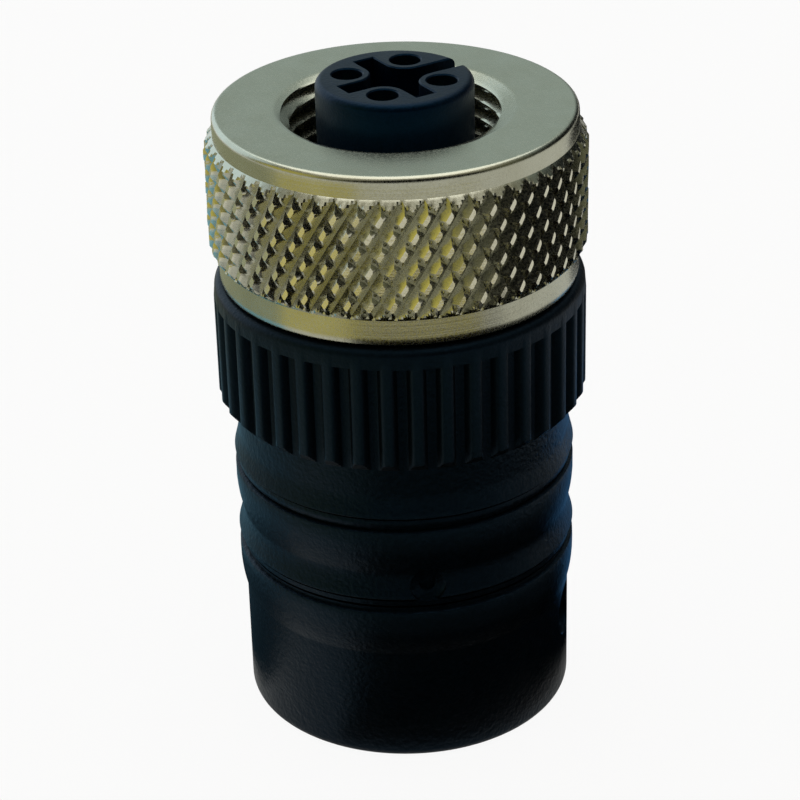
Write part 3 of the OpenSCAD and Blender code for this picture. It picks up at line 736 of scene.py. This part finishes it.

# %% [markdown]
# ## Moulded black polyamide
# The grip, housing and cap are glass-filled polyamide. It comes out of a mould with a fine, spark-eroded
# texture: near black, slightly blue, a soft gloss, and a speckle of tiny pits. Light from the sides
# skims it and lifts its flanks. Real pits are too fine to show, so they're drawn as coarse as they need
# to be. One function makes each kind, with its own colours and gloss.

# %% Black plastics
# The third colour of each plastic is a painted highlight, partly real wear, on its outermost crests.
def moulded_plastic(name, deep, pale, wear_and_highlight, gloss_rough, speck_mm, speck_depth_mm,
                    wear_and_highlight_from_mm, sheen=0.22, tint="#84c4fa"):
    material, tree = new_material(name)
    place = add_node(tree, "ShaderNodeTexCoord")
    where = place.outputs["Object"]
    cloud = add_node(tree, "ShaderNodeTexNoise", inputs={"Vector": where, "Scale": per_mm(4), "Detail": 3})
    speck = add_node(tree, "ShaderNodeTexNoise",
                     inputs={"Vector": where, "Scale": per_mm(speck_mm), "Detail": 3})
    pits = add_node(tree, "ShaderNodeTexVoronoi", inputs={"Vector": where, "Scale": per_mm(speck_mm * 2.2)})
    lift = add_node(tree, "ShaderNodeMapRange", inputs={
        "Value": speck.outputs[0], "From Min": 0.35, "From Max": 0.72})
    base = add_node(tree, "ShaderNodeMix", {"data_type": "RGBA"},
                    {0: lift.outputs[0], 6: linear(deep), 7: linear(pale)})
    # Painted highlight, partly real wear: past the given radius the crests are lightened towards the third
    # colour, for the light that catches them.
    crest_wear_and_highlight = wear_and_highlight_share(tree, where, wear_and_highlight_from_mm, wear_and_highlight_from_mm + 0.1, 0.6)
    colour = add_node(tree, "ShaderNodeMix", {"data_type": "RGBA"},
                      {0: crest_wear_and_highlight, 6: base.outputs[2], 7: linear(wear_and_highlight)})
    rough = add_node(tree, "ShaderNodeMapRange", inputs={
        "Value": cloud.outputs[0], "From Min": 0.3, "From Max": 0.7,
        "To Min": gloss_rough - 0.05, "To Max": gloss_rough + 0.06})
    height = add_node(tree, "ShaderNodeMath", {"operation": "MULTIPLY_ADD"},
                      {0: pits.outputs["Distance"], 1: 0.4, 2: speck.outputs[0]})
    bump = add_node(tree, "ShaderNodeBump", inputs={
        "Height": height.outputs[0], "Strength": 0.75, "Distance": speck_depth_mm * MM})
    shader = add_node(tree, "ShaderNodeBsdfPrincipled", inputs={
        "Base Color": colour.outputs[2], "Roughness": rough.outputs[0], "IOR": 1.53,
        "Specular IOR Level": sheen, "Specular Tint": linear(tint), "Normal": bump.outputs[0]})
    add_node(tree, "ShaderNodeOutputMaterial", inputs={"Surface": shader.outputs[0]})
    return material


# The third colour of each is a painted highlight, partly wear: housing and cap crests, rib tops and the
# insert's outer wall are lightened towards it.
polyamide = moulded_plastic("spark_textured_polyamide", "#010408", "#050d15", "#13202a",
                            0.4, 0.2, 0.05, 9.2)
grip_polyamide = moulded_plastic("ribbed_grip_polyamide", "#010306", "#050b12", "#13202a",
                                 0.46, 0.14, 0.03, 9.82)
insert_polyester = moulded_plastic("insert_polyester", "#00040c", "#010f22", "#1f4666",
                                   0.42, 0.12, 0.02, 4.08, 0.28, "#48a8ee")
for thing, finish in ((grip, grip_polyamide), (housing, polyamide), (cap, polyamide),
                      (insert, insert_polyester)):
    thing.data.materials.clear()
    thing.data.materials.append(finish)
print("plastics:", polyamide.name, grip_polyamide.name, insert_polyester.name)

# %% [markdown]
# ## Metal and rubber inside
# The sockets are brass with a gold plating, the screws and the washer are bright steel, the clip that
# holds the nut is blued spring steel, and the seals are soft nitrile rubber. Each has its own colour,
# roughness and fine grain. The solids of the model already have the right shapes, so they only get
# these finishes.

# %% Inner finishes
def inner_metal(name, dark, bright, low_rough, high_rough, grain_mm):
    material, tree = new_material(name)
    place = add_node(tree, "ShaderNodeTexCoord")
    grain = add_node(tree, "ShaderNodeTexNoise", inputs={
        "Vector": place.outputs["Object"], "Scale": per_mm(grain_mm), "Detail": 4})
    colour = add_node(tree, "ShaderNodeMix", {"data_type": "RGBA"},
                      {0: grain.outputs[0], 6: linear(dark), 7: linear(bright)})
    rough = add_node(tree, "ShaderNodeMapRange", inputs={
        "Value": grain.outputs[0], "From Min": 0.3, "From Max": 0.7,
        "To Min": low_rough, "To Max": high_rough})
    bump = add_node(tree, "ShaderNodeBump", inputs={
        "Height": grain.outputs[0], "Strength": 0.2, "Distance": 0.01 * MM})
    shader = add_node(tree, "ShaderNodeBsdfPrincipled", inputs={
        "Base Color": colour.outputs[2], "Metallic": 1, "Roughness": rough.outputs[0],
        "Normal": bump.outputs[0]})
    add_node(tree, "ShaderNodeOutputMaterial", inputs={"Surface": shader.outputs[0]})
    return material


gold = inner_metal("gold_plated_brass", "#c99a45", "#e8c478", 0.2, 0.32, 0.2)
steel = inner_metal("bright_zinc_steel", "#a9adb0", "#cfd2d3", 0.25, 0.4, 0.3)
spring = inner_metal("blued_spring_steel", "#4b5058", "#6f757d", 0.3, 0.45, 0.25)
# Here too the third colour is the painted highlight, partly wear, beyond the given radius.
rubber = moulded_plastic("nitrile_rubber", "#060606", "#121110", "#1a1918", 0.62, 0.2, 0.02, 9.0)
inner_plastic = moulded_plastic("terminal_block_polyamide", "#07090b", "#12181c", "#1c242a",
                                0.5, 0.16, 0.02, 6.8)
finishes = {"contact_": gold, "terminal_screw_": steel, "slip_washer": steel, "nut_clip": spring,
            "face_seal": rubber, "body_gasket": rubber, "cable_seal": rubber,
            "terminal_block": inner_plastic, "clamp_collet": inner_plastic}
for name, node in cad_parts.items():
    for start, finish in finishes.items():
        if name.startswith(start):
            node.data.materials.clear()
            node.data.materials.append(finish)
            for face in node.data.polygons:
                face.material_index = 0
print("inner parts with a finish:", sum(name.startswith(tuple(finishes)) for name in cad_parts))
